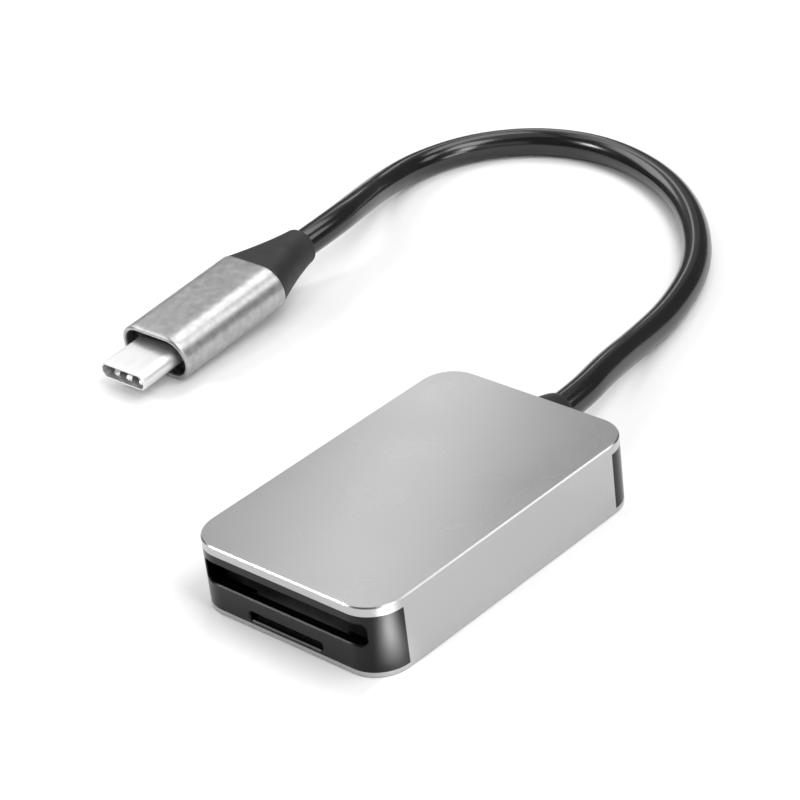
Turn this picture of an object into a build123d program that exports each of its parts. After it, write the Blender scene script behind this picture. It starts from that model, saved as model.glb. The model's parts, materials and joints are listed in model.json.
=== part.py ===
"""Pocket card reader with a captive USB-C lead.

A flat aluminium sleeve closed by two black end caps holds one circuit board.
A full-size card socket stands on the board and a small one hangs under it,
both facing the front. The lead leaves the rear cap through a soft boot and
ends in a USB-C plug with an aluminium housing.

Frame: origin under the middle of the sleeve, slots towards -Y, lead out of
the +Y end, +Z up. All lengths are millimetres.
"""

from build123d import *
import os
from math import cos, hypot, pi, radians, sin, tan

# ---- driving dimensions: the body ------------------------------------------
BODY_W = 30.0  # across, X
BODY_L = 46.2  # front to back, Y
BODY_H = 9.5  # height, Z
CORNER_R = 4.5  # plan corner of the plates and caps
TOP_T = 1.2  # top plate of the sleeve
BOTTOM_T = 0.75  # bottom plate of the sleeve
SIDE_T = 1.5  # side walls of the sleeve
EDGE_CHAMFER = 0.16  # bright cut along the outer edges of both plates
CAP_T = 1.2  # wall of the end caps
TAB_Z = (4.6, 7.8)  # snap tabs of the caps, inside the sleeve
TAB_L = 3.0  # how far the tabs reach along the side walls
LEDGE_H = 0.6  # ledges in the sleeve that carry the board
FIT_GAP = 0.05  # clearance between pieces pushed together

HALF_W = BODY_W / 2
HALF_L = BODY_L / 2
WALL_END_Y = HALF_L - CORNER_R  # the side walls stop where the corners start
CAP_Z0 = BOTTOM_T
CAP_Z1 = BODY_H - TOP_T
INNER_HALF_W = HALF_W - SIDE_T

# ---- card mouths and sockets -------------------------------------------------
SD_MOUTH_W = 25.3
SD_MOUTH_Z = (4.29, 7.1)
SD_MOUTH_R = 0.7
TF_MOUTH_W = 11.6
TF_MOUTH_Z = (1.25, 2.4)
TF_MOUTH_R = 0.4
MOUTH_EASE = 0.16  # cut round the rim of both mouths
MOUTH_DEPTH = 3.0  # cut of the wide mouth, through the wall and the tabs

BOARD_Z0 = 3.0
BOARD_T = 1.0
BOARD_Z1 = BOARD_Z0 + BOARD_T
BOARD_HALF_W = 12.6
BOARD_Y = (-20.1, 15.5)
BOARD_HOLE_D = 1.6
BOARD_HOLES = [(-10.6, 12.6), (10.6, 12.6)]
LEDGE_X = 12.3
LEDGE_Y = (-15.4, 15.4)

SD_RAIL_X = (12.05, 12.4)  # side rails of the large socket
SD_FLOOR_Z = 4.65
SD_RAIL_Z1 = 6.9
SD_BACK_Y = (5.9, 7.4)
SD_CONTACTS = 9
SD_PITCH = 2.5
SD_CONTACT_X0 = -10.3
SD_SHEET = 0.2

TF_BASE_HALF_W = 7.3
TF_ROOF_Z = 2.2  # roof of the small card's channel
TF_FLOOR_Z = 1.2
TF_BACK_Y = (-5.9, -5.0)
TF_CONTACTS = 8
TF_PITCH = 1.1
TF_SHEET = 0.15
TF_WALL_X = 5.7  # the small card runs between walls at this half width
SLIDER_X = (5.8, 7.05)
SLIDER_Y = (-15.6, -11.0)
SLIDER_Z = (1.3, 2.1)
SLIDER_ARM = (3.9, -11.8, 1.75)  # low X, low Y and top of the arm behind the card
SLIDER_GROOVE = (6.68, 6.98, 1.6)  # limits in X and roof of the latch pin's groove
EJECT_TRAVEL = 3.2  # stroke of the push-push slider
LATCH_AT = (6.83, 1.44)  # X and Z of the latch pin
LATCH_D = 0.2
SPRING_AT = (6.22, 1.72)  # X and Z of the spring's axis
SPRING_D = 0.7
SPRING_WIRE = 0.14
SPRING_TURNS = 9
SPRING_GAP = 0.03

LEAF_T = 0.14  # leaf contacts and springs
# Side outlines of the leaves, as (Y, Z) of their lower side from tail to tip.
SD_LEAF = [(9.0, 4.0), (7.5, 4.0), (6.6, 4.2), (4.0, 4.3), (0.2, 4.95), (-1.2, 4.6)]
SD_DETECT_LEAF = [(5.6, 5.2), (3.4, 5.2), (2.2, 5.9), (1.2, 5.2)]
TF_LEAF = [(-4.0, 2.86), (-6.2, 2.86), (-7.2, 2.6), (-11.4, 1.95), (-12.6, 2.3)]

# ---- parts on the board --------------------------------------------------------
CHIP_AT = (0.0, 4.5)
CHIP_HALF = 2.5
CHIP_Z = (2.1, 2.95)
CHIP_LEADS = 8  # on each side
LEAD_PITCH = 0.5
LEAD_HALF_W = 0.11
LEAD_OUT = 0.5
LEAD_Z = (2.86, BOARD_Z0)
PASSIVE_SIZE = (1.0, 0.5)
CAPACITOR_PLACES = [
    (-5.2, 1.5),
    (-5.2, 3.5),
    (-5.2, 5.5),
    (-5.2, 7.5),
    (5.2, 1.5),
    (5.2, 3.5),
    (8.6, -2.0),
    (-9.2, -2.0),
]
RESISTOR_PLACES = [
    (5.2, 5.5),
    (5.2, 7.5),
    (-2.0, 9.6),
    (0.0, 9.6),
    (2.0, 9.6),
    (-9.2, 1.0),
    (-9.2, 3.0),
]

# ---- cable -------------------------------------------------------------------
CABLE_D = 4.1
EXIT_Z = 5.3
CABLE_BORE_D = CABLE_D + 2 * FIT_GAP
BOOT_END_Y = 27.0
BOOT_NECK_D = 5.3
BOOT_FLANGE_D = 5.9
BOOT_FLANGE_T = 1.6
BOOT_COLLAR_D = 6.5
BOOT_COLLAR_T = 0.9
BOOT_TIP_D = 5.2
CORE_D = 3.2  # braided core that goes on past the jacket
CORE_Y = (16.9, 20.0)
FERRULE_D = 4.4
FERRULE_Y = (17.4, 19.6)
WIRE_D = 0.4
WIRE_COUNT = 6
WIRE_SPREAD = (1.35, 1.15)  # half width and height of their fan at the core
WIRE_LEAD = 0.6  # straight length out of the core
WIRE_FOOT = 0.7  # straight length along the board
WIRE_BEND_R = 0.6
WIRE_TAIL_Y = 11.8
PAD_X0 = -4.5
PAD_PITCH = 1.8
BEAD_SIZE = (1.0, 1.1, 0.6)
BEAD_EASE = 0.25
# Points of the lead from the plug to the inside of the rear boot. They lie on
# the table between two lifts: the plug tilts its end up, the body holds the
# other at half its height.
ROUTE = [
    (-58.75, 40.1, 5.9),
    (-58.6, 48.6, 6.7),
    (-61.7, 57.1, 5.35),
    (-65.6, 65.7, 3.3),
    (-67.5, 75.2, 2.1),
    (-64.4, 84.4, 2.05),
    (-57.4, 91.0, 2.05),
    (-48.6, 93.6, 2.05),
    (-39.7, 92.8, 2.05),
    (-29.7, 88.9, 2.05),
    (-20.0, 81.5, 2.05),
    (-11.7, 71.1, 2.05),
    (-7.3, 59.7, 2.05),
    (-5.1, 49.5, 2.8),
    (-2.6, 39.7, 4.55),
    (0.0, 30.0, EXIT_Z),
    (0.0, 20.0, EXIT_Z),
]

# ---- USB-C plug, measured back from the tip of its shell ----------------------
PLUG_TIP = (-58.456, 6.346, 2.702)
PLUG_PITCH = 5.4  # nose down, resting on the lower front edge of the housing
PLUG_YAW = 0.5
SHELL_W = 8.34
SHELL_H = 2.56
SHELL_T = 0.28
SHELL_REACH = 6.2  # what stands out of the housing
SHELL_END = 11.5
HOUSING_W = 12.4
HOUSING_H = 6.6
HOUSING_T = 0.6
HOUSING_L = 19.5
HOUSING_END = SHELL_REACH + HOUSING_L
RELIEF_L = 10.4
RELIEF_D = 5.3
RELIEF_SPIGOT = 2.0  # what sits inside the housing
RELIEF_STATIONS = 5
RELIEF_WAIST = 1.35  # exponent of the taper
RELIEF_EASE = 0.35
CABLE_START = 33.9  # the jacket begins inside the strain relief


def shrunk(size, wall):
    """Width and height of a stadium one wall further in."""
    return (size[0] - 2 * wall, size[1] - 2 * wall)


SHELL = (SHELL_W, SHELL_H)
SHELL_INNER = shrunk(SHELL, SHELL_T)
HOUSING = (HOUSING_W, HOUSING_H)
HOUSING_INNER = shrunk(HOUSING, HOUSING_T)
BEZEL = shrunk(HOUSING_INNER, FIT_GAP)
BEZEL_Z = (SHELL_REACH + 1.35, SHELL_REACH + 4.0)
RELIEF_BASE = shrunk(HOUSING, 0.1)
TONGUE_SLOT = (6.8, 0.72)
CARRIER_Z = (1.75, 8.6)
SLOT_DEPTH = 4.4
CHANNEL_START = 0.6  # the contact channels begin this far behind the carrier's face
CHANNEL_HALF_W = 0.16
CHANNEL_HALF_H = 0.62
CONTACTS_PER_SIDE = 12
CONTACT_PITCH = 0.5
CONTACT_HALF_W = 0.12
CONTACT_TOP = 0.56
CONTACT_START = 2.5
TAB_X = (-2.4, 0.0, 2.4)  # grounding tabs in the mouth
TAB_HALF_W = 0.5
TAB_TOP = 0.37
TAB_DEPTH = (1.0, 1.65)
TAB_T = 0.18
PADDLE_Z = (9.2, 19.0)
PADDLE_HALF_W = 3.7
PADDLE_T = 0.6
PADDLE_GAP = 0.02  # between the board or wires and the mould
PLUG_WIRE_D = 0.6
PLUG_WIRE_Y = PADDLE_T / 2 + PADDLE_GAP + PLUG_WIRE_D / 2
PLUG_WIRE_X = [-1.5 + i * 0.75 for i in range(5)]
PLUG_WIRE_OVERLAP = 2.4  # length of each wire that lies on the board

PLUG_AXIS = (
    -sin(radians(PLUG_YAW)) * cos(radians(PLUG_PITCH)),
    cos(radians(PLUG_YAW)) * cos(radians(PLUG_PITCH)),
    sin(radians(PLUG_PITCH)),
)
PLUG_SIDE = (-cos(radians(PLUG_YAW)), -sin(radians(PLUG_YAW)), 0)
# Local z runs back along the plug, local y is up and local x across it.
PLUG = Plane(origin=PLUG_TIP, x_dir=PLUG_SIDE, z_dir=PLUG_AXIS)
PLUG_LINE = Axis(PLUG_TIP, PLUG_AXIS)

os.makedirs("parts", exist_ok=True)


def save(piece, name):
    """Label a finished sub-part and write its STEP file."""
    piece.part.label = name
    export_step(piece.part, f"parts/{name}.step")


def bar(x, y, z, mode=Mode.ADD):
    """Box between two limits on each axis, into the open part."""
    size = (x[1] - x[0], y[1] - y[0], z[1] - z[0])
    middle = ((x[0] + x[1]) / 2, (y[0] + y[1]) / 2, (z[0] + z[1]) / 2)
    with Locations(middle):
        Box(*size, mode=mode)


def both_sides(x, y, z, mode=Mode.ADD):
    """The same box on the right and, mirrored, on the left."""
    bar(x, y, z, mode)
    bar((-x[1], -x[0]), y, z, mode)


def strip(points, thickness, width, x):
    """Thin bent strip: a side outline of (y, z) points, extruded across X."""
    upper = [(y, z + thickness) for y, z in reversed(points)]
    with BuildSketch(Plane.YZ.offset(x - width / 2)) as outline:
        with BuildLine():
            Polyline(*points, *upper, close=True)
        make_face()
    extrude(outline.sketch, amount=width)


# ---- casing -------------------------------------------------------------------
def shell_sleeve():
    """Extruded sleeve whose plates reach past its side walls at both ends."""
    with BuildPart() as sleeve:
        with BuildSketch():
            RectangleRounded(BODY_W, BODY_L, CORNER_R)
        extrude(amount=BODY_H)
        chamfer(sleeve.faces().sort_by(Axis.Z)[-1].edges(), EDGE_CHAMFER)
        chamfer(sleeve.faces().sort_by(Axis.Z)[0].edges(), EDGE_CHAMFER)
        bar((-INNER_HALF_W, INNER_HALF_W), (-HALF_L, HALF_L), (CAP_Z0, CAP_Z1), Mode.SUBTRACT)
        for end in (-1, 1):
            reach = sorted((end * WALL_END_Y, end * (HALF_L + 1)))
            bar((-HALF_W - 1, HALF_W + 1), reach, (CAP_Z0, CAP_Z1), Mode.SUBTRACT)
        # ledges that carry the board
        both_sides((LEDGE_X, INNER_HALF_W), LEDGE_Y, (BOARD_Z0 - LEDGE_H, BOARD_Z0))
    return sleeve


def cap_band(sign):
    """End wall, two round corners and snap tabs of a cap, into the open part."""
    inner = (BODY_W - 2 * CAP_T, BODY_L - 2 * CAP_T)
    with BuildSketch(Plane.XY.offset(CAP_Z0)) as band:
        RectangleRounded(BODY_W, BODY_L, CORNER_R)
        RectangleRounded(*inner, CORNER_R - CAP_T, mode=Mode.SUBTRACT)
        with Locations((0, -sign * CORNER_R)):
            Rectangle(BODY_W + 2, BODY_L, mode=Mode.SUBTRACT)
    extrude(band.sketch, amount=CAP_Z1 - CAP_Z0)
    root_y = sign * (WALL_END_Y + 1.0)
    tab_x = (SD_MOUTH_W / 2 + FIT_GAP, INNER_HALF_W - FIT_GAP)
    both_sides(tab_x, sorted((sign * (WALL_END_Y - TAB_L), root_y)), TAB_Z)
    both_sides((tab_x[1], HALF_W - 0.6), sorted((sign * WALL_END_Y, root_y)), TAB_Z)


def mouth(width, z, radius, depth):
    """Rounded slot cut inwards through the front wall of the open part."""
    with BuildSketch(Plane.XZ.offset(HALF_L + 1)) as slot:
        with Locations((0, (z[0] + z[1]) / 2)):
            RectangleRounded(width, z[1] - z[0], radius)
    extrude(slot.sketch, amount=-(depth + 1), mode=Mode.SUBTRACT)


def is_on_rim(edge, width, z):
    """True for an edge of the cap's outer surface that runs round one mouth."""
    box = edge.bounding_box()
    within_x = max(abs(box.min.X), abs(box.max.X)) < width / 2 + FIT_GAP
    within_z = box.min.Z > z[0] - FIT_GAP and box.max.Z < z[1] + FIT_GAP
    return within_x and within_z and all(is_outside(edge @ t) for t in (0, 0.5, 1))


def is_outside(point):
    """True for a point on the flat front or the round corners of the front cap."""
    x, y = abs(point.X), -point.Y
    if x <= HALF_W - CORNER_R:
        return abs(y - HALF_L) < 0.001
    return abs(hypot(x - (HALF_W - CORNER_R), y - WALL_END_Y) - CORNER_R) < 0.001


def front_cap():
    """Front cap with a wide mouth above a small one."""
    with BuildPart() as cap:
        cap_band(-1)
        mouth(SD_MOUTH_W, SD_MOUTH_Z, SD_MOUTH_R, MOUTH_DEPTH)
        mouth(TF_MOUTH_W, TF_MOUTH_Z, TF_MOUTH_R, CAP_T)
        for width, z in ((SD_MOUTH_W, SD_MOUTH_Z), (TF_MOUTH_W, TF_MOUTH_Z)):
            chamfer([edge for edge in cap.edges() if is_on_rim(edge, width, z)], MOUTH_EASE)
    return cap


def rear_cap():
    """Rear cap with the round hole that the boot is pulled into."""
    with BuildPart() as cap:
        cap_band(1)
        with BuildSketch(Plane.XZ.offset(-HALF_L - 1)):
            with Locations((0, EXIT_Z)):
                Circle(BOOT_NECK_D / 2 + FIT_GAP)
        extrude(amount=CAP_T + 2, mode=Mode.SUBTRACT)
    return cap


def cable_boot():
    """Soft boot: inner flange, neck through the cap, flared collar outside."""
    wall_in = HALF_L - CAP_T
    outline = [
        (CABLE_BORE_D / 2, wall_in - BOOT_FLANGE_T),
        (BOOT_FLANGE_D / 2, wall_in - BOOT_FLANGE_T),
        (BOOT_FLANGE_D / 2, wall_in),
        (BOOT_NECK_D / 2, wall_in),
        (BOOT_NECK_D / 2, HALF_L),
        (BOOT_COLLAR_D / 2, HALF_L),
        (BOOT_COLLAR_D / 2, HALF_L + BOOT_COLLAR_T),
        (BOOT_TIP_D / 2, BOOT_END_Y),
        (CABLE_BORE_D / 2, BOOT_END_Y),
    ]
    with BuildPart() as boot:
        with BuildSketch(Plane(origin=(0, 0, EXIT_Z), x_dir=(1, 0, 0), z_dir=(0, 0, 1))):
            with BuildLine():
                Polyline(*outline, close=True)
            make_face()
        revolve(axis=Axis((0, 0, EXIT_Z), (0, 1, 0)))
    return boot


# ---- board and what is soldered to it ----------------------------------------
def main_board():
    """Board with notched front corners and locating holes."""
    length = BOARD_Y[1] - BOARD_Y[0]
    with BuildPart() as board:
        with BuildSketch(Plane.XY.offset(BOARD_Z0)):
            with Locations((0, (BOARD_Y[0] + BOARD_Y[1]) / 2)):
                RectangleRounded(2 * BOARD_HALF_W, length, 0.8)
            with Locations(*BOARD_HOLES):
                Circle(BOARD_HOLE_D / 2, mode=Mode.SUBTRACT)
        extrude(amount=BOARD_T)
    return board


def sd_contact_x():
    """X of each contact of the large socket."""
    return [SD_CONTACT_X0 + i * SD_PITCH for i in range(SD_CONTACTS)]


def tf_contact_x():
    """X of each contact of the small socket."""
    first = -(TF_CONTACTS - 1) / 2 * TF_PITCH
    return [first + i * TF_PITCH for i in range(TF_CONTACTS)]


def sd_socket_base():
    """Insulator of the large socket: floor, two rails and a back wall."""
    front = BOARD_Y[0]
    with BuildPart() as base:
        bar((-SD_RAIL_X[1], SD_RAIL_X[1]), (front, SD_BACK_Y[1]), (BOARD_Z1, SD_FLOOR_Z))
        both_sides(SD_RAIL_X, (front, SD_BACK_Y[1]), (SD_FLOOR_Z, SD_RAIL_Z1))
        bar((-SD_RAIL_X[1], SD_RAIL_X[1]), SD_BACK_Y, (SD_FLOOR_Z, SD_RAIL_Z1))
        for x in sd_contact_x():
            bar((x - 0.6, x + 0.6), (-1.6, SD_BACK_Y[1]), (BOARD_Z1, SD_FLOOR_Z), Mode.SUBTRACT)
        chamfer(base.edges().filter_by(Axis.X).group_by(Axis.Y)[0].sort_by(Axis.Z)[-1], 0.3)
    return base


def sd_socket_cover():
    """Stamped cover of the large socket with windows and two hold-down fingers."""
    front = BOARD_Y[0] + 0.2
    top = (SD_RAIL_Z1, SD_RAIL_Z1 + SD_SHEET)
    side_x = (SD_RAIL_X[1], SD_RAIL_X[1] + SD_SHEET)
    with BuildPart() as cover:
        bar((-side_x[1], side_x[1]), (front, SD_BACK_Y[1]), top)
        both_sides(side_x, (front, SD_BACK_Y[1]), (BOARD_Z1, SD_RAIL_Z1))
        for x in (-7.0, 7.0):
            bar((x - 2.2, x + 2.2), (-13.0, -6.0), top, Mode.SUBTRACT)
            bar((x - 0.7, x + 0.7), (-13.0, -7.0), top)
        bar((-6.0, 6.0), (-3.0, 3.5), top, Mode.SUBTRACT)
    return cover


def sd_contacts():
    """Nine leaf contacts with their solder tails behind the socket."""
    with BuildPart() as contacts:
        for x in sd_contact_x():
            strip(SD_LEAF, LEAF_T, 0.8, x)
    return contacts


def sd_detect_springs():
    """Card-present and lock-tab leaf springs beside the back wall."""
    with BuildPart() as springs:
        for x in (-11.5, 11.5):
            strip(SD_DETECT_LEAF, LEAF_T, 0.5, x)
    return springs


def microsd_socket_base():
    """Insulator of the small socket, hung under the board."""
    front = BOARD_Y[0]
    half = TF_BASE_HALF_W
    walls_z = (TF_FLOOR_Z, TF_ROOF_Z)
    with BuildPart() as base:
        bar((-half, half), (front, TF_BACK_Y[1]), (TF_ROOF_Z, BOARD_Z0))
        bar((-half, -TF_WALL_X), (front, TF_BACK_Y[1]), walls_z)
        bar((SLIDER_X[1] + 0.1, half), (front, TF_BACK_Y[1]), walls_z)
        bar((TF_WALL_X, half), (front, SLIDER_Y[0] - 0.2), walls_z)
        bar((-half, half), TF_BACK_Y, walls_z)
        for x in tf_contact_x():
            bar((x - 0.35, x + 0.35), (-13.4, TF_BACK_Y[1]), (TF_ROOF_Z, BOARD_Z0), Mode.SUBTRACT)
    return base


def microsd_socket_cover():
    """Stamped cover under the small socket, folded up both sides."""
    front = BOARD_Y[0] + 0.2
    bottom = (TF_FLOOR_Z - TF_SHEET, TF_FLOOR_Z)
    side_x = (TF_BASE_HALF_W, TF_BASE_HALF_W + TF_SHEET)
    with BuildPart() as cover:
        bar((-side_x[1], side_x[1]), (front, TF_BACK_Y[1]), bottom)
        both_sides(side_x, (front, TF_BACK_Y[1]), (TF_FLOOR_Z, BOARD_Z0))
        bar((-3.6, 3.6), (-16.0, -11.0), bottom, Mode.SUBTRACT)
        bar((-0.8, 0.8), (-16.0, -12.0), bottom)
    return cover


def microsd_contacts():
    """Eight leaf contacts that press down on the small card."""
    with BuildPart() as contacts:
        for x in tf_contact_x():
            strip(TF_LEAF, LEAF_T, 0.4, x)
    return contacts


def microsd_eject_slider():
    """Push-push slider: a runner beside the card and an arm behind it."""
    arm_x, arm_y, arm_top = SLIDER_ARM
    with BuildPart() as slider:
        bar(SLIDER_X, SLIDER_Y, SLIDER_Z)
        bar((arm_x, SLIDER_X[0]), (arm_y, SLIDER_Y[1]), (SLIDER_Z[0], arm_top))
        bar(SLIDER_GROOVE[:2], SLIDER_Y, (SLIDER_Z[0], SLIDER_GROOVE[2]), Mode.SUBTRACT)
    return slider


def microsd_eject_spring():
    """Coil spring between the slider and the back wall."""
    end_gap = SPRING_WIRE / 2 + SPRING_GAP
    length = TF_BACK_Y[0] - SLIDER_Y[1] - 2 * end_gap
    with BuildPart() as spring:
        with BuildLine():
            coil = Helix(
                pitch=length / SPRING_TURNS,
                height=length,
                radius=(SPRING_D - SPRING_WIRE) / 2,
                center=(SPRING_AT[0], SLIDER_Y[1] + end_gap, SPRING_AT[1]),
                direction=(0, 1, 0),
            )
        with BuildSketch(Plane(origin=coil @ 0, z_dir=coil % 0)):
            Circle(SPRING_WIRE / 2)
        sweep(path=coil)
    return spring


def microsd_latch_pin():
    """Wire from the back wall into the slider's groove."""
    tip_y = SLIDER_Y[0] + EJECT_TRAVEL - 0.2
    with BuildPart() as pin:
        with BuildSketch(Plane.XZ.offset(-TF_BACK_Y[0])):
            with Locations(LATCH_AT):
                Circle(LATCH_D / 2)
        extrude(amount=TF_BACK_Y[0] - tip_y)
    return pin


def controller_chip():
    """Bridge controller under the board, with its leads."""
    x, y = CHIP_AT
    half = CHIP_HALF
    reach = half + LEAD_OUT
    first = -(CHIP_LEADS - 1) / 2 * LEAD_PITCH
    with BuildPart() as chip:
        bar((x - half, x + half), (y - half, y + half), CHIP_Z)
        for i in range(CHIP_LEADS):
            low = first + i * LEAD_PITCH - LEAD_HALF_W
            high = low + 2 * LEAD_HALF_W
            bar((x + low, x + high), (y - reach, y + reach), LEAD_Z)
            bar((x - reach, x + reach), (y + low, y + high), LEAD_Z)
    return chip


def block_under_board(x, y, size, height, ease):
    """Soft-edged block under the board."""
    z = (BOARD_Z0 - height, BOARD_Z0)
    with BuildPart() as block:
        bar((x - size[0] / 2, x + size[0] / 2), (y - size[1] / 2, y + size[1] / 2), z)
        chamfer(block.edges().filter_by(Axis.Z), ease)
    return block


def chips_on_board(places, size, height):
    """Several equal small blocks under the board, as separate solids."""
    z = (BOARD_Z0 - height, BOARD_Z0)
    with BuildPart() as group:
        for x, y in places:
            bar((x - size[0] / 2, x + size[0] / 2), (y - size[1] / 2, y + size[1] / 2), z)
    return group


# ---- cable inside the body ----------------------------------------------------
def ring_on_y(outer, inner, y):
    """Ring or, with no inner diameter, a disc round the cable's axis."""
    with BuildPart() as ring:
        with BuildSketch(Plane.XZ.offset(-y[1])):
            with Locations((0, EXIT_Z)):
                Circle(outer / 2)
                if inner:
                    Circle(inner / 2, mode=Mode.SUBTRACT)
        extrude(amount=y[1] - y[0])
    return ring


def wire_lanes():
    """X and Z of each wire at the core, and the X of its pad on the board."""
    lanes = []
    for i in range(WIRE_COUNT):
        turn = pi * (i + 0.5) / WIRE_COUNT
        start = (-WIRE_SPREAD[0] * cos(turn), EXIT_Z - 0.5 + WIRE_SPREAD[1] * sin(turn))
        lanes.append((start, PAD_X0 + PAD_PITCH * i))
    return lanes


def cable_wires():
    """Insulated wires from the core down to their pads on the board."""
    with BuildPart() as wires:
        for (x0, z0), x1 in wire_lanes():
            z1 = BOARD_Z1 + 0.2 + WIRE_D / 2
            with BuildLine():
                path = FilletPolyline(
                    (x0, CORE_Y[0], z0),
                    (x0, CORE_Y[0] - WIRE_LEAD, z0),
                    (x1, WIRE_TAIL_Y + WIRE_FOOT, z1),
                    (x1, WIRE_TAIL_Y, z1),
                    radius=WIRE_BEND_R,
                )
            with BuildSketch(Plane(origin=path @ 0, z_dir=path % 0)):
                Circle(WIRE_D / 2)
            sweep(path=path)
    return wires


def solder_joints():
    """A rounded bead of solder at the end of each wire."""
    with BuildPart() as beads:
        for _, x in wire_lanes():
            with Locations((x, WIRE_TAIL_Y - BEAD_SIZE[1] / 2, BOARD_Z1 + BEAD_SIZE[2] / 2)):
                Box(*BEAD_SIZE)
        chamfer(beads.edges().group_by(Axis.Z)[-1], BEAD_EASE)
    return beads


# ---- free cable ----------------------------------------------------------------
def bend_radii(route):
    """Radius at each corner: 0.45 of its shorter run over tan(half the turn)."""
    radii = []
    for before, at, after in zip(route, route[1:], route[2:]):
        run_in = Vector(*at) - Vector(*before)
        run_out = Vector(*after) - Vector(*at)
        half_turn = radians(run_in.get_angle(run_out)) / 2
        radii.append(0.45 * min(run_in.length, run_out.length) / tan(half_turn))
    return radii


def cable_jacket():
    """Round jacket along the route, straight runs joined by tangent arcs."""
    radii = bend_radii(ROUTE)
    with BuildPart() as jacket:
        with BuildLine() as centre:
            path = FilletPolyline(*ROUTE, radius=radii)
        with BuildSketch(Plane(origin=path @ 0, z_dir=path % 0)):
            Circle(CABLE_D / 2)
        sweep(path=path)
    length = centre.wires()[0].length
    print("cable radii", [round(r, 1) for r in radii])
    print(f"cable length {length:.1f}, volume {jacket.part.volume:.1f}")
    print(f"section x length {pi * CABLE_D**2 / 4 * length:.1f}")
    return jacket


# ---- USB-C plug ----------------------------------------------------------------
def plug_tube(outer, inner, start, end):
    """Stadium tube along the plug, or a solid bar where inner is None."""
    with BuildSketch(PLUG.offset(start)) as section:
        SlotOverall(*outer)
        if inner:
            SlotOverall(*inner, mode=Mode.SUBTRACT)
    extrude(section.sketch, amount=end - start)


def plug_box(x, y, z, mode=Mode.ADD):
    """Box in the plug's own axes: across, up, and back from the tip."""
    with BuildSketch(PLUG.offset(z[0])) as section:
        with Locations(((x[0] + x[1]) / 2, (y[0] + y[1]) / 2)):
            Rectangle(x[1] - x[0], y[1] - y[0])
    extrude(section.sketch, amount=z[1] - z[0], mode=mode)


def plug_shell():
    """Drawn steel shell with a rolled mouth."""
    with BuildPart() as shell:
        plug_tube(SHELL, SHELL_INNER, 0.0, SHELL_END)
        tip = shell.faces().sort_by(PLUG_LINE)[0]
        chamfer(tip.outer_wire().edges(), 0.16)
    return shell


def plug_contact_carrier():
    """Moulded insulator inside the shell with the slot for the tongue."""
    slot_half_w, slot_half_h = TONGUE_SLOT[0] / 2, TONGUE_SLOT[1] / 2
    with BuildPart() as carrier:
        plug_tube(shrunk(SHELL_INNER, 0.03), None, *CARRIER_Z)
        plug_box(
            (-slot_half_w, slot_half_w),
            (-slot_half_h, slot_half_h),
            (CARRIER_Z[0], CARRIER_Z[0] + SLOT_DEPTH),
            Mode.SUBTRACT,
        )
        for x in contact_x():
            plug_box(
                (x - CHANNEL_HALF_W, x + CHANNEL_HALF_W),
                (-CHANNEL_HALF_H, CHANNEL_HALF_H),
                (CARRIER_Z[0] + CHANNEL_START, CARRIER_Z[1]),
                Mode.SUBTRACT,
            )
    return carrier


def contact_x():
    """Place across the plug of each contact of one row."""
    first = -(CONTACTS_PER_SIDE - 1) / 2 * CONTACT_PITCH
    return [first + i * CONTACT_PITCH for i in range(CONTACTS_PER_SIDE)]


def plug_contacts():
    """Two rows of contact blades in the carrier's channels."""
    with BuildPart() as contacts:
        for x in contact_x():
            for side in (-1, 1):
                height = sorted((side * (PADDLE_T / 2 + 0.04), side * CONTACT_TOP))
                width = (x - CONTACT_HALF_W, x + CONTACT_HALF_W)
                plug_box(width, height, (CONTACT_START, PADDLE_Z[0] + 1.2))
    return contacts


def plug_mouth_springs():
    """Grounding tabs that slope inwards behind the mouth, above and below."""
    root = SHELL_INNER[1] / 2 - 0.01
    start, end = TAB_DEPTH
    with BuildPart() as springs:
        for x in TAB_X:
            for side in (-1, 1):
                outline = [
                    (start, side * root),
                    (start, side * (root - TAB_T)),
                    (end - TAB_T, side * TAB_TOP),
                    (end, side * TAB_TOP),
                    (end, side * root),
                ]
                corner = PLUG.from_local_coords((x - TAB_HALF_W, 0, 0))
                with BuildSketch(Plane(corner, x_dir=PLUG.z_dir, z_dir=PLUG.x_dir)) as tab:
                    with BuildLine():
                        Polyline(*outline, close=True)
                    make_face()
                extrude(tab.sketch, amount=2 * TAB_HALF_W)
    return springs


def plug_bezel():
    """Black moulded bezel between the shell and the housing."""
    with BuildPart() as bezel:
        plug_tube(BEZEL, shrunk(SHELL, -FIT_GAP), *BEZEL_Z)
    return bezel


def plug_housing():
    """Aluminium sleeve of the plug with eased ends."""
    with BuildPart() as housing:
        plug_tube(HOUSING, HOUSING_INNER, SHELL_REACH, HOUSING_END)
        ends = housing.faces().sort_by(PLUG_LINE)
        chamfer(ends[0].outer_wire().edges(), 0.3)
        chamfer(ends[-1].outer_wire().edges(), 0.12)
    return housing


def plug_board():
    """Small board that joins the contacts to the cable's wires."""
    with BuildPart() as board:
        half_t = PADDLE_T / 2
        plug_box((-PADDLE_HALF_W, PADDLE_HALF_W), (-half_t, half_t), PADDLE_Z)
    return board


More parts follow.
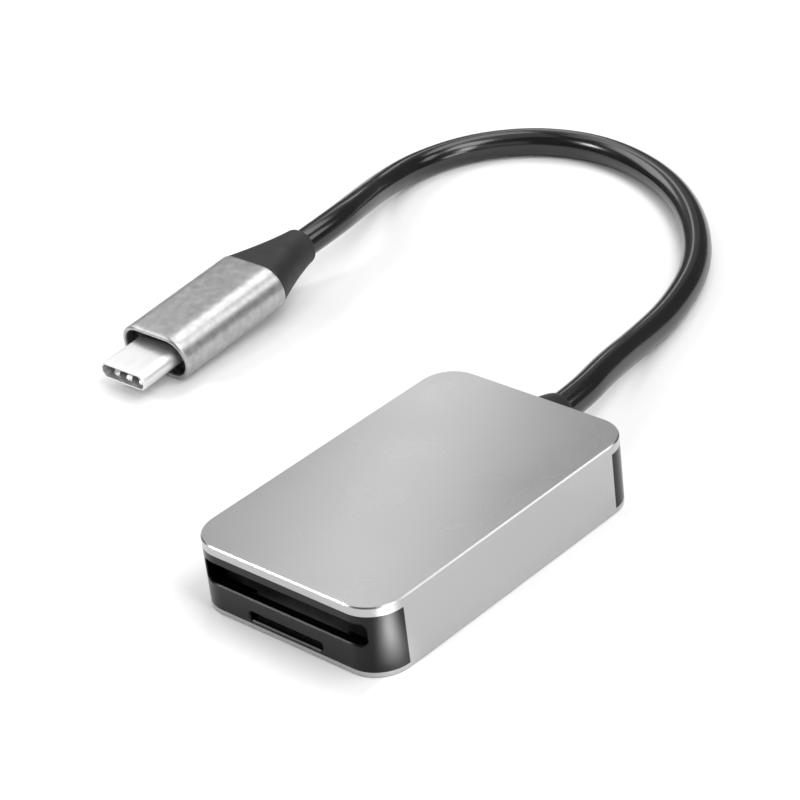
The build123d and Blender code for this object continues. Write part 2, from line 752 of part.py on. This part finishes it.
def plug_inner_mould():
    """Hard inner mould that locks shell, board and cable together."""
    mould_end = HOUSING_END - RELIEF_SPIGOT - 0.1
    with BuildPart() as mould:
        plug_tube(shrunk(BEZEL, FIT_GAP), None, SHELL_END + 0.1, mould_end)
        half_t = PADDLE_T / 2 + PADDLE_GAP
        half_w = PADDLE_HALF_W + PADDLE_GAP
        board_z = (SHELL_END, PADDLE_Z[1] + PADDLE_GAP)
        plug_box((-half_w, half_w), (-half_t, half_t), board_z, Mode.SUBTRACT)
        for x in PLUG_WIRE_X:
            with BuildSketch(PLUG.offset(PADDLE_Z[1] - PLUG_WIRE_OVERLAP - 0.2)):
                with Locations((x, PLUG_WIRE_Y)):
                    Circle(PLUG_WIRE_D / 2 + PADDLE_GAP)
            extrude(amount=HOUSING_END, mode=Mode.SUBTRACT)
    return mould


def plug_wires():
    """Wires from the plug's board towards the cable."""
    with BuildPart() as wires:
        start = PADDLE_Z[1] - PLUG_WIRE_OVERLAP
        for x in PLUG_WIRE_X:
            with BuildSketch(PLUG.offset(start)):
                with Locations((x, PLUG_WIRE_Y)):
                    Circle(PLUG_WIRE_D / 2)
            extrude(amount=HOUSING_END - RELIEF_SPIGOT - 0.1 - start)
    return wires


def plug_strain_relief():
    """Soft relief: a spigot in the housing, then a waisted taper to the cable."""
    with BuildPart() as relief:
        with BuildSketch(PLUG.offset(HOUSING_END - RELIEF_SPIGOT)):
            SlotOverall(*BEZEL)
        extrude(amount=RELIEF_SPIGOT)
        for i in range(RELIEF_STATIONS + 1):
            along = i / RELIEF_STATIONS
            easing = (1 - along) ** RELIEF_WAIST
            width = RELIEF_D + (RELIEF_BASE[0] - RELIEF_D) * easing
            height = RELIEF_D + (RELIEF_BASE[1] - RELIEF_D) * easing
            with BuildSketch(PLUG.offset(HOUSING_END + along * RELIEF_L)):
                if along < 1:
                    SlotOverall(width, height)
                else:
                    SlotOverall(RELIEF_D + 0.02, RELIEF_D)
        loft()
        tip = relief.faces().sort_by(PLUG_LINE)[-1]
        chamfer(tip.outer_wire().edges(), RELIEF_EASE)
        with BuildSketch(PLUG.offset(CABLE_START - FIT_GAP)):
            Circle(CABLE_BORE_D / 2)
        extrude(amount=RELIEF_L, mode=Mode.SUBTRACT)
    return relief


# ---- write every sub-part --------------------------------------------------------
SUBPARTS = {
    "shell_sleeve": shell_sleeve,
    "front_cap": front_cap,
    "rear_cap": rear_cap,
    "cable_boot": cable_boot,
    "main_board": main_board,
    "sd_socket_base": sd_socket_base,
    "sd_socket_cover": sd_socket_cover,
    "sd_contacts": sd_contacts,
    "sd_detect_springs": sd_detect_springs,
    "microsd_socket_base": microsd_socket_base,
    "microsd_socket_cover": microsd_socket_cover,
    "microsd_contacts": microsd_contacts,
    "microsd_eject_slider": microsd_eject_slider,
    "microsd_eject_spring": microsd_eject_spring,
    "microsd_latch_pin": microsd_latch_pin,
    "controller_chip": controller_chip,
    "crystal": lambda: block_under_board(6.5, 11.0, (3.2, 2.5), 0.7, 0.3),
    "voltage_regulator": lambda: block_under_board(-6.5, 11.0, (2.9, 1.6), 1.1, 0.2),
    "capacitors": lambda: chips_on_board(CAPACITOR_PLACES, PASSIVE_SIZE, 0.5),
    "resistors": lambda: chips_on_board(RESISTOR_PLACES, PASSIVE_SIZE, 0.35),
    "cable_core": lambda: ring_on_y(CORE_D, None, CORE_Y),
    "cable_ferrule": lambda: ring_on_y(FERRULE_D, CORE_D, FERRULE_Y),
    "cable_wires": cable_wires,
    "solder_joints": solder_joints,
    "cable_jacket": cable_jacket,
    "plug_shell": plug_shell,
    "plug_contact_carrier": plug_contact_carrier,
    "plug_contacts": plug_contacts,
    "plug_mouth_springs": plug_mouth_springs,
    "plug_bezel": plug_bezel,
    "plug_housing": plug_housing,
    "plug_board": plug_board,
    "plug_inner_mould": plug_inner_mould,
    "plug_wires": plug_wires,
    "plug_strain_relief": plug_strain_relief,
}

for subpart, make in SUBPARTS.items():
    save(make(), subpart)
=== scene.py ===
"""Looks of the pocket card reader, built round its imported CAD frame. Lengths are metres."""

import json
import math

import bmesh
import bpy
from mathutils import Matrix, Quaternion, Vector


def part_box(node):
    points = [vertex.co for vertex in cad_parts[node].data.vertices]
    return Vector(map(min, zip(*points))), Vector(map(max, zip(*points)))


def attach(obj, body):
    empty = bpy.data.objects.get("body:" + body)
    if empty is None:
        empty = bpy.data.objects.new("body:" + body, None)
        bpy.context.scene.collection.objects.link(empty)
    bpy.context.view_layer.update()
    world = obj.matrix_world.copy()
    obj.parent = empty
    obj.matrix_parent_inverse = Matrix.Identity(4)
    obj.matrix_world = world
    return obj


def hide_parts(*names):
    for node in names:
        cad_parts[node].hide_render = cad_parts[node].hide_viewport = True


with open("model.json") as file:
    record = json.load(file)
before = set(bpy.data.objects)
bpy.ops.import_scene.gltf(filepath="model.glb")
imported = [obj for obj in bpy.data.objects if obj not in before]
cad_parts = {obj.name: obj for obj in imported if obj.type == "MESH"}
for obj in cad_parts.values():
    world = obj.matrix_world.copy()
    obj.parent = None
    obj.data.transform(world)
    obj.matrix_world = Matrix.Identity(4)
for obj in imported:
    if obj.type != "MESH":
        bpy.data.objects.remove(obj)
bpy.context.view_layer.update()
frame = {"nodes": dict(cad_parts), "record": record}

RECORD = frame["record"]
BODY = "reader"

# ---- camera: a long lens from the front right, rolled a little ---------------
CAMERA_AZIMUTH = 45.46
CAMERA_ELEVATION = 30.15
CAMERA_ROLL = -7.14
CAMERA_DISTANCE = 0.3636
CAMERA_TARGET = Vector((-0.0256, 0.0248, 0.0))
CAMERA_LENS_MM = 125.8
SENSOR_MM = 36.0


def make_camera():
    """Camera that looks at the target from the given azimuth and elevation."""
    azimuth, elevation = math.radians(CAMERA_AZIMUTH), math.radians(CAMERA_ELEVATION)
    back = Vector((
        math.sin(azimuth) * math.cos(elevation),
        -math.cos(azimuth) * math.cos(elevation),
        math.sin(elevation),
    ))
    right = (-back).cross(Vector((0, 0, 1))).normalized()
    upward = back.cross(right)
    roll = math.radians(CAMERA_ROLL)
    x_axis = right * math.cos(roll) + upward * math.sin(roll)
    y_axis = upward * math.cos(roll) - right * math.sin(roll)
    data = bpy.data.cameras.new("camera")
    data.lens = CAMERA_LENS_MM
    data.sensor_width = SENSOR_MM
    data.clip_start = 0.01
    data.clip_end = 10.0
    camera = bpy.data.objects.new("camera", data)
    rotation = Matrix((x_axis, y_axis, back)).transposed()
    place = Matrix.Translation(CAMERA_TARGET + back * CAMERA_DISTANCE)
    camera.matrix_world = place @ rotation.to_4x4()
    bpy.context.collection.objects.link(camera)
    bpy.context.scene.camera = camera


make_camera()


# ---- materials ----------------------------------------------------------------
def new_material(name):
    """Empty node material; returns it with its tree, shader and a coordinate source."""
    material = bpy.data.materials.new(name)
    material.use_nodes = True
    tree = material.node_tree
    shader = tree.nodes["Principled BSDF"]
    coords = tree.nodes.new("ShaderNodeTexCoord").outputs["Object"]
    return material, tree, shader, coords


def noise(tree, coords, size, detail=4.0, stretch=(1, 1, 1), roughness=0.5):
    """Noise whose features are about size metres across; stretch lengthens them."""
    mapping = tree.nodes.new("ShaderNodeMapping")
    mapping.inputs["Scale"].default_value = [1 / (size * s) for s in stretch]
    texture = tree.nodes.new("ShaderNodeTexNoise")
    texture.inputs["Scale"].default_value = 1.0
    texture.inputs["Detail"].default_value = detail
    texture.inputs["Roughness"].default_value = roughness
    tree.links.new(coords, mapping.inputs["Vector"])
    tree.links.new(mapping.outputs["Vector"], texture.inputs["Vector"])
    return texture.outputs["Fac"]


def ramp(tree, value, low, high, start=0.3, stop=0.7):
    """Map a 0-1 value onto a range of numbers, between two of its levels."""
    node = tree.nodes.new("ShaderNodeMapRange")
    node.inputs["From Min"].default_value = start
    node.inputs["From Max"].default_value = stop
    node.inputs["To Min"].default_value = low
    node.inputs["To Max"].default_value = high
    tree.links.new(value, node.inputs["Value"])
    return node.outputs["Result"]


def blend_colors(tree, factor, first, second):
    """Mix two colours by a factor socket."""
    node = tree.nodes.new("ShaderNodeMix")
    node.data_type = "RGBA"
    node.inputs[6].default_value = (*first, 1)
    node.inputs[7].default_value = (*second, 1)
    tree.links.new(factor, node.inputs[0])
    return node.outputs[2]


def bump(tree, shader, height, strength, depth):
    """Add a bump layer on top of any the shader already has."""
    node = tree.nodes.new("ShaderNodeBump")
    node.inputs["Strength"].default_value = strength
    node.inputs["Distance"].default_value = depth
    tree.links.new(height, node.inputs["Height"])
    normal = shader.inputs["Normal"]
    if normal.is_linked:
        tree.links.new(normal.links[0].from_socket, node.inputs["Normal"])
    tree.links.new(node.outputs["Normal"], normal)


def surface(
    name,
    dark,
    light,
    metallic=0.0,
    rough=(0.3, 0.4),
    mottle=0.004,
    grain=0.0002,
    grain_depth=0.00001,
    grain_strength=0.3,
    stretch=(1, 1, 1),
    **sockets,
):
    """General finish: mottled colour, uneven gloss and a fine grain.

    Sockets of the shader are set by name, with _ for a space.
    """
    material, tree, shader, coords = new_material(name)
    shader.inputs["Metallic"].default_value = metallic
    for socket, value in sockets.items():
        shader.inputs[socket.replace("_", " ")].default_value = value
    patches = noise(tree, coords, mottle, 6.0, stretch)
    tree.links.new(
        blend_colors(tree, ramp(tree, patches, 0, 1), dark, light), shader.inputs["Base Color"]
    )
    smears = noise(tree, coords, mottle * 0.6, 5.0, stretch, 0.6)
    tree.links.new(ramp(tree, smears, *rough), shader.inputs["Roughness"])
    bump(tree, shader, noise(tree, coords, grain, 3.0, stretch), grain_strength, grain_depth)
    return material


def grey(level):
    """Neutral colour."""
    return (level, level, level)


GRAIN_DEPTH = 0.000004
GRAIN_STRENGTH = 0.12


def blasted_aluminium(name, dark, light, rough, mottle, grain=None):
    """Bead-blasted, clear-anodised aluminium; grain is the size of its bumps, if it has any."""
    material, tree, shader, coords = new_material(name)
    shader.inputs["Metallic"].default_value = 1.0
    patches = noise(tree, coords, mottle, 1.0)
    base = blend_colors(tree, ramp(tree, patches, 0, 1), grey(dark), grey(light))
    tree.links.new(base, shader.inputs["Base Color"])
    smears = noise(tree, coords, mottle * 0.7, 1.0)
    tree.links.new(ramp(tree, smears, *rough), shader.inputs["Roughness"])
    if grain:
        bump(tree, shader, noise(tree, coords, grain, 2.0), GRAIN_STRENGTH, GRAIN_DEPTH)
    return material


MATERIALS = {
    "sleeve_aluminium": blasted_aluminium(
        "sleeve_aluminium", 0.45, 0.47, rough=(0.27, 0.29), mottle=0.012
    ),
    "plug_aluminium": blasted_aluminium(
        "plug_aluminium", 0.38, 0.48, rough=(0.31, 0.39), mottle=0.0011, grain=0.0004
    ),
    "cap_plastic": surface(
        "cap_plastic", grey(0.001), grey(0.002), rough=(0.2, 0.25), mottle=0.006,
        grain=0.0003, grain_depth=0.000003, Specular_IOR_Level=0.25,
    ),
    "boot_elastomer": surface(
        "boot_elastomer", grey(0.01), grey(0.016), rough=(0.42, 0.52), Specular_IOR_Level=0.4
    ),
    "jacket_elastomer": surface(
        "jacket_elastomer", grey(0.004), grey(0.007), rough=(0.16, 0.22), mottle=0.008,
        grain=0.0006, grain_depth=0.000003, Specular_IOR_Level=0.6,
    ),
    "relief_elastomer": surface(
        "relief_elastomer", grey(0.012), grey(0.02), rough=(0.5, 0.62), grain=0.00018,
        grain_depth=0.00001, grain_strength=0.5, Specular_IOR_Level=0.35,
    ),
    "plug_nickel": surface(
        "plug_nickel", grey(0.74), grey(0.82), metallic=0.85, rough=(0.34, 0.44), mottle=0.002,
        grain=0.0002, grain_depth=0.000002, stretch=(1, 6, 1),
    ),
    "sheet_steel": surface(
        "sheet_steel", grey(0.45), grey(0.6), metallic=1.0, rough=(0.28, 0.42), mottle=0.003,
        stretch=(1, 8, 1), grain_depth=0.000004,
    ),
    "spring_steel": surface("spring_steel", grey(0.35), grey(0.5), metallic=1.0, mottle=0.001),
    "can_metal": surface("can_metal", grey(0.6), grey(0.7), metallic=1.0, mottle=0.001),
    "contact_gold": surface(
        "contact_gold", (0.78, 0.55, 0.22), (0.9, 0.68, 0.3), metallic=1.0, rough=(0.18, 0.3),
        mottle=0.001, grain_depth=0.000002,
    ),
    "copper_crimp": surface(
        "copper_crimp", (0.6, 0.3, 0.18), (0.75, 0.42, 0.26), metallic=1.0, mottle=0.001
    ),
    "core_braid": surface("core_braid", grey(0.4), grey(0.6), metallic=1.0, mottle=0.0006),
    "solder": surface(
        "solder", grey(0.6), grey(0.75), metallic=1.0, rough=(0.15, 0.3), mottle=0.0008
    ),
    "board_laminate": surface(
        "board_laminate", (0.03, 0.033, 0.032), (0.05, 0.054, 0.052), rough=(0.35, 0.5),
        mottle=0.0015,
    ),
    "socket_polymer": surface("socket_polymer", grey(0.045), grey(0.07), rough=(0.45, 0.6)),
    "slider_polymer": surface(
        "slider_polymer", (0.6, 0.58, 0.52), (0.72, 0.7, 0.64), rough=(0.4, 0.5), mottle=0.001
    ),
    "chip_epoxy": surface("chip_epoxy", grey(0.015), grey(0.03), rough=(0.5, 0.65), mottle=0.0008),
    "ceramic_tan": surface("ceramic_tan", (0.3, 0.2, 0.11), (0.42, 0.3, 0.18), mottle=0.0005),
    "ceramic_black": surface("ceramic_black", grey(0.02), grey(0.045), mottle=0.0005),
    "wire_insulation": surface(
        "wire_insulation", (0.45, 0.04, 0.03), (0.6, 0.07, 0.05), rough=(0.35, 0.45), mottle=0.001
    ),
    "mould_polymer": surface("mould_polymer", grey(0.55), grey(0.68), rough=(0.45, 0.6)),
}


def give(piece, slot):
    """Put the finish of the named record slot on a new piece."""
    piece.data.materials.clear()
    piece.data.materials.append(MATERIALS[slot])


def finish_cad_nodes():
    """Every CAD node wears the finish of its own slot."""
    for subpart in RECORD["subparts"]:
        node = frame["nodes"][subpart["node"]]
        for socket in node.material_slots:
            socket.material = MATERIALS[subpart["material_slot"]]


# ---- cable ---------------------------------------------------------------------
CABLE_D = 0.0041
CABLE_EXIT = (0.0, 0.027, 0.0053)
ROUTE = [
    (-0.05875, 0.0401, 0.0059),
    (-0.0586, 0.0486, 0.0067),
    (-0.0617, 0.0571, 0.00535),
    (-0.0656, 0.0657, 0.0033),
    (-0.0675, 0.0752, 0.0021),
    (-0.0644, 0.0844, 0.00205),
    (-0.0574, 0.091, 0.00205),
    (-0.0486, 0.0936, 0.00205),
    (-0.0397, 0.0928, 0.00205),
    (-0.0297, 0.0889, 0.00205),
    (-0.02, 0.0815, 0.00205),
    (-0.0117, 0.0711, 0.00205),
    (-0.0073, 0.0597, 0.00205),
    (-0.0051, 0.0495, 0.0028),
    (-0.0026, 0.0397, 0.00455),
    (0.0, 0.03, 0.0053),
    (0.0, 0.02, 0.0053),
]


def make_cable():
    """Round jacket as one smooth spline along the route."""
    curve = bpy.data.curves.new("cable", "CURVE")
    curve.dimensions = "3D"
    spline = curve.splines.new("NURBS")
    spline.points.add(len(ROUTE) - 1)
    for point, place in zip(spline.points, ROUTE):
        point.co = (*place, 1)
    spline.order_u = 3
    spline.use_endpoint_u = True
    spline.resolution_u = 12
    curve.bevel_depth = CABLE_D / 2
    curve.bevel_resolution = 12
    curve.use_fill_caps = True
    cable = bpy.data.objects.new("cable", curve)
    bpy.context.collection.objects.link(cable)
    return cable


cable = make_cable()
give(cable, "jacket_elastomer")
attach(cable, BODY)
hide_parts("cable_jacket")


# ---- mesh helpers ----------------------------------------------------------------
def mesh_object(name, vertices, faces):
    """Smooth-shaded mesh object from plain lists."""
    mesh = bpy.data.meshes.new(name)
    mesh.from_pydata(vertices, [], faces)
    bm = bmesh.new()
    bm.from_mesh(mesh)
    bmesh.ops.recalc_face_normals(bm, faces=bm.faces)
    bm.to_mesh(mesh)
    bm.free()
    mesh.shade_smooth()
    piece = bpy.data.objects.new(name, mesh)
    bpy.context.collection.objects.link(piece)
    return piece


def skin(name, rings):
    """Closed skin over equal rings of points, whose last ring joins the first."""
    count = len(rings[0])
    vertices = [point for ring in rings for point in ring]
    faces = []
    for i in range(len(rings)):
        here, there = i * count, (i + 1) % len(rings) * count
        for j in range(count):
            k = (j + 1) % count
            faces.append((here + j, here + k, there + k, there + j))
    return mesh_object(name, vertices, faces)


# ---- the plug's own axes ----------------------------------------------------------
PLUG_MOUNT = next(m for m in RECORD["mounts"] if m["name"] == "usb_c_plug")
PLUG_TIP = Vector(PLUG_MOUNT["pos_m"])
PLUG_BACK = -Vector(PLUG_MOUNT["axis"]).normalized()
PLUG_SIDE = PLUG_BACK.cross(Vector((0, 0, 1))).normalized()
PLUG_UP = PLUG_SIDE.cross(PLUG_BACK)


def plug_point(across, up, back):
    """Point given across, up and back from the tip of the plug."""
    return PLUG_TIP + PLUG_SIDE * across + PLUG_UP * up + PLUG_BACK * back


def stadium_ring(width, height, back, arc_steps=24, flat_steps=6):
    """Points round a stadium section of the plug, evenly shared round its ends."""
    radius = min(width, height) / 2
    half_flat = max(width / 2 - radius, 0)
    ring = []
    for side in (1, -1):
        for i in range(arc_steps + 1):
            angle = math.pi * (i / arc_steps - 0.5)
            across = side * (half_flat + radius * math.cos(angle))
            ring.append(plug_point(across, side * height / 2 * math.sin(angle), back))
        for i in range(1, flat_steps):
            along = half_flat * (1 - 2 * i / flat_steps)
            ring.append(plug_point(side * along, side * height / 2, back))
    return ring


# Stations of a skin are (inset from the full section, distance back from the tip).
SHELL_SIZE = (0.00834, 0.00256)
SHELL_T = 0.00028
SHELL_REACH = 0.0062
SHELL_END = 0.0115
HOUSING_SIZE = (0.0124, 0.0066)
HOUSING_T = 0.0006
HOUSING_END = 0.0257
RELIEF_END = 0.0361
RELIEF_D = 0.0053
FIT_GAP = 0.00002


def rounded_edge(inset, back, radius, sign, steps=4):
    """Quarter-round stations from an end face round to the outer side."""
    stations = []
    for i in range(steps + 1):
        angle = math.pi / 2 * i / steps
        stations.append((
            inset + radius * (1 - math.sin(angle)),
            back + sign * radius * (1 - math.cos(angle)),
        ))
    return stations


def tube_skin(name, size, stations):
    """Closed skin of a stadium tube through (inset, back) stations."""
    rings = []
    for inset, back in stations:
        rings.append(stadium_ring(size[0] - 2 * inset, size[1] - 2 * inset, back))
    return skin(name, rings)


SHELL_OUTER_EASE = 0.00018
SHELL_INNER_EASE = 0.00008


def plug_shell():
    """Drawn shell with a rolled mouth, outside and inside."""
    stations = rounded_edge(0.0, 0.0, SHELL_OUTER_EASE, 1)
    inside = rounded_edge(0.0, 0.0, SHELL_INNER_EASE, 1)
    stations += [(0.0, 0.0006), (0.0, 0.003), (0.0, SHELL_REACH), (0.0, SHELL_END)]
    stations += [(SHELL_T, SHELL_END), (SHELL_T, SHELL_REACH), (SHELL_T, 0.001)]
    stations += [(SHELL_T - inset, back) for inset, back in reversed(inside)]
    piece = tube_skin("plug_shell_skin", SHELL_SIZE, stations)
    give(piece, "plug_nickel")
    return piece


HOUSING_FRONT_EASE = 0.0003
HOUSING_REAR_EASE = 0.00012
HOUSING_BORE_EASE = 0.0001
HOUSING_LIP_EASE = 0.00012


def plug_housing():
    """Aluminium housing with softly eased ends."""
    front, rear = SHELL_REACH, HOUSING_END
    stations = rounded_edge(0.0, front, HOUSING_FRONT_EASE, 1, 6)
    stations += [(0.0, front + 0.0008), (0.0, (front + rear) / 2), (0.0, rear - 0.0005)]
    stations += reversed(rounded_edge(0.0, rear, HOUSING_REAR_EASE, -1, 4))
    stations += [(HOUSING_T - HOUSING_BORE_EASE, rear), (HOUSING_T, rear - HOUSING_BORE_EASE)]
    stations += [(HOUSING_T, front + 0.0006), (HOUSING_T, front + HOUSING_LIP_EASE)]
    stations += [(HOUSING_T - HOUSING_LIP_EASE, front)]
    piece = tube_skin("plug_housing_skin", HOUSING_SIZE, stations)
    give(piece, "plug_aluminium")
    return piece


RELIEF_BASE = (0.0122, 0.0064)
RELIEF_STEPS = 26
RELIEF_SPIGOT = 0.0018
RELIEF_SPIGOT_INSET = 0.0009
RELIEF_BASE_EASE = 0.00012
RELIEF_WAIST = 1.35
RELIEF_FIRST_STEP = 0.015
RELIEF_TIP_R = 0.0009
RELIEF_TIP_FLATNESS = 0.62
RELIEF_TIP_STEPS = 6
RELIEF_BORE_EASE = 0.0001
RELIEF_BORE_DEPTH = 0.002
ROUND_STADIUM = 1e-6  # keeps a round section's flat just above nothing


def relief_ring(along, inset=0.0, back=None):
    """Section of the strain relief at a share of its length."""
    easing = (1 - along) ** RELIEF_WAIST
    width = RELIEF_D + (RELIEF_BASE[0] - RELIEF_D) * easing - 2 * inset
    height = RELIEF_D + (RELIEF_BASE[1] - RELIEF_D) * easing - 2 * inset
    if back is None:
        back = HOUSING_END + along * (RELIEF_END - HOUSING_END)
    return stadium_ring(max(width, height + ROUND_STADIUM), height, back)


def strain_relief():
    """Waisted soft relief with a rounded end round the cable."""
    length = RELIEF_END - HOUSING_END
    rings = [
        relief_ring(0.0, RELIEF_SPIGOT_INSET, HOUSING_END - RELIEF_SPIGOT),
        relief_ring(0.0, RELIEF_SPIGOT_INSET, HOUSING_END),
        relief_ring(0.0, RELIEF_BASE_EASE, HOUSING_END + FIT_GAP),
    ]
    last = 1 - RELIEF_TIP_R / length
    for i in range(RELIEF_STEPS + 1):
        share = RELIEF_FIRST_STEP + (1 - RELIEF_FIRST_STEP) * i / RELIEF_STEPS
        rings.append(relief_ring(last * share))
    for i in range(1, RELIEF_TIP_STEPS + 1):
        angle = math.pi / 2 * i / RELIEF_TIP_STEPS
        back = RELIEF_END - RELIEF_TIP_R * (1 - math.sin(angle))
        inset = RELIEF_TIP_R * RELIEF_TIP_FLATNESS * (1 - math.cos(angle))
        rings.append(relief_ring(last, inset, back))
    bore = CABLE_D + 2 * FIT_GAP
    for back in (RELIEF_END - RELIEF_BORE_EASE, RELIEF_END - RELIEF_BORE_DEPTH):
        rings.append(stadium_ring(bore + ROUND_STADIUM, bore, back))
    piece = skin("plug_relief_skin", rings)
    give(piece, "relief_elastomer")
    return piece


# ---- boot at the body --------------------------------------------------------------
BODY_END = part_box("shell_sleeve")[1][1]
# Radius, then place along the axis of the cable.
BOOT_PROFILE = [
    (0.0021, BODY_END - 0.0028),
    (0.00295, BODY_END - 0.0028),
    (0.00295, BODY_END - 0.00125),
    (0.00265, BODY_END - 0.00122),
    (0.00265, BODY_END),
    (0.0031, BODY_END + 0.00002),
    (0.00322, BODY_END + 0.00012),
    (0.00325, BODY_END + 0.0003),
    (0.00324, BODY_END + 0.0009),
    (0.00312, BODY_END + 0.0016),
    (0.00297, BODY_END + 0.0023),
    (0.0028, BODY_END + 0.003),
    (0.00268, BODY_END + 0.00345),
    (0.00258, BODY_END + 0.00372),
    (0.00242, BODY_END + 0.00386),
    (0.0022, BODY_END + 0.0039),
    (0.0021, BODY_END + 0.0038),
]
BOOT_STEPS = 64


def boot():
    """Soft boot turned round the cable's axis."""
    rings = []
    for radius, y in BOOT_PROFILE:
        ring = []
        for i in range(BOOT_STEPS):
            angle = 2 * math.pi * i / BOOT_STEPS
            ring.append((radius * math.cos(angle), y, CABLE_EXIT[2] + radius * math.sin(angle)))
        rings.append(ring)
    piece = skin("cable_boot_skin", rings)
    give(piece, "boot_elastomer")
    return piece


def add_piece(piece, *nodes):
    """Let a finished piece ride on the body in place of CAD nodes."""
    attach(piece, BODY)
    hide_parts(*nodes)
    return piece


shell_piece = add_piece(plug_shell(), "plug_shell")
housing_piece = add_piece(plug_housing(), "plug_housing")
relief_piece = add_piece(strain_relief(), "plug_strain_relief")
boot_piece = add_piece(boot(), "cable_boot")
finish_cad_nodes()


# ---- floor, light -------------------------------------------------------------------
FLOOR_HALF = 3.0


def make_floor():
    """Plain pale table top."""
    corners = [
        (-FLOOR_HALF, -FLOOR_HALF, 0),
        (FLOOR_HALF, -FLOOR_HALF, 0),
        (FLOOR_HALF, FLOOR_HALF, 0),
        (-FLOOR_HALF, FLOOR_HALF, 0),
    ]
    floor = mesh_object("floor", corners, [(0, 1, 2, 3)])
    floor.data.materials.append(surface(
        "floor_paper", grey(0.88), grey(0.92), rough=(0.6, 0.7), mottle=0.2, grain=0.002,
        grain_strength=0.05,
    ))


LIGHT_TARGET = (0, 0.02, 0)
BODY_TOP_CENTRE = (0, -0.006, 0.0095)
WORLD_STRENGTH = 0.15
SPOT_RADIUS = 0.004
POOL_LIGHT = (0.07, -0.035, 0.12)
POOL_CENTRE = (0.0238, -0.0225, 0)
POOL_CONE = 5.5
POOL_POWER = 20.0


def area_light(name, azimuth, elevation, distance, size, power, target=(0, 0, 0), turn=0):
    """Rectangular softbox aimed at a point, placed as the camera is."""
    a, e = math.radians(azimuth), math.radians(elevation)
    back = Vector((math.sin(a) * math.cos(e), -math.cos(a) * math.cos(e), math.sin(e)))
    data = bpy.data.lights.new(name, "AREA")
    data.shape = "RECTANGLE"
    data.size, data.size_y = size
    data.energy = power
    light = bpy.data.objects.new(name, data)
    light.location = Vector(target) + back * distance
    light.rotation_mode = "QUATERNION"
    spin = Quaternion((0, 0, 1), math.radians(turn))
    light.rotation_quaternion = (-back).to_track_quat("-Z", "Y") @ spin
    bpy.context.collection.objects.link(light)


def snooted_spot(name, location, target, cone, power):
    """Small pool of light on the table, for the part to reflect."""
    data = bpy.data.lights.new(name, "SPOT")
    data.spot_size = math.radians(cone)
    data.spot_blend = 1.0
    data.shadow_soft_size = SPOT_RADIUS
    data.energy = power
    light = bpy.data.objects.new(name, data)
    light.location = location
    light.rotation_mode = "QUATERNION"
    light.rotation_quaternion = (Vector(target) - Vector(location)).to_track_quat("-Z", "Y")
    bpy.context.collection.objects.link(light)


# name, azimuth, elevation, distance, (width, height), watts
SOFTBOXES = (
    ("front_left_box", -51, 37, 0.7, (0.14, 0.14), 1.3),
    ("left_box", -100, 32, 0.7, (0.3, 0.35), 1.05),
    ("back_left_box", -135, 32, 0.7, (0.5, 0.4), 0.15),
    ("back_high_box", -160, 60, 0.7, (0.4, 0.3), 1.2),
    ("right_box", 85, 30, 0.7, (0.2, 0.3), 1.5),
    ("right_high_box", 100, 62, 0.7, (0.4, 0.3), 2.2),
    ("right_low_box", 95, 8, 0.7, (0.3, 0.12), 0.8),
    ("back_right_box", 140, 38, 0.7, (0.2, 0.25), 0.5),
    ("top_box", 0, 88, 0.8, (0.6, 0.6), 0.8),
    ("front_right_box", 45, 20, 0.9, (0.8, 0.45), 0.8),
)


def make_light():
    """Soft studio: boxes all round, a thin strip for the top face and a small floor pool."""
    world = bpy.data.worlds.new("studio")
    world.use_nodes = True
    background = world.node_tree.nodes["Background"]
    background.inputs["Color"].default_value = (1, 1, 1, 1)
    background.inputs["Strength"].default_value = WORLD_STRENGTH
    bpy.context.scene.world = world
    for name, azimuth, elevation, distance, size, power in SOFTBOXES:
        area_light(name, azimuth, elevation, distance, size, power, LIGHT_TARGET)
    area_light(
        "top_face_strip", -133.4, 32.3, 0.27, (0.25, 0.02), 0.034, target=BODY_TOP_CENTRE, turn=58
    )
    snooted_spot("corner_pool", POOL_LIGHT, POOL_CENTRE, POOL_CONE, POOL_POWER)


make_floor()
make_light()
bpy.context.scene.view_settings.view_transform = "Standard"
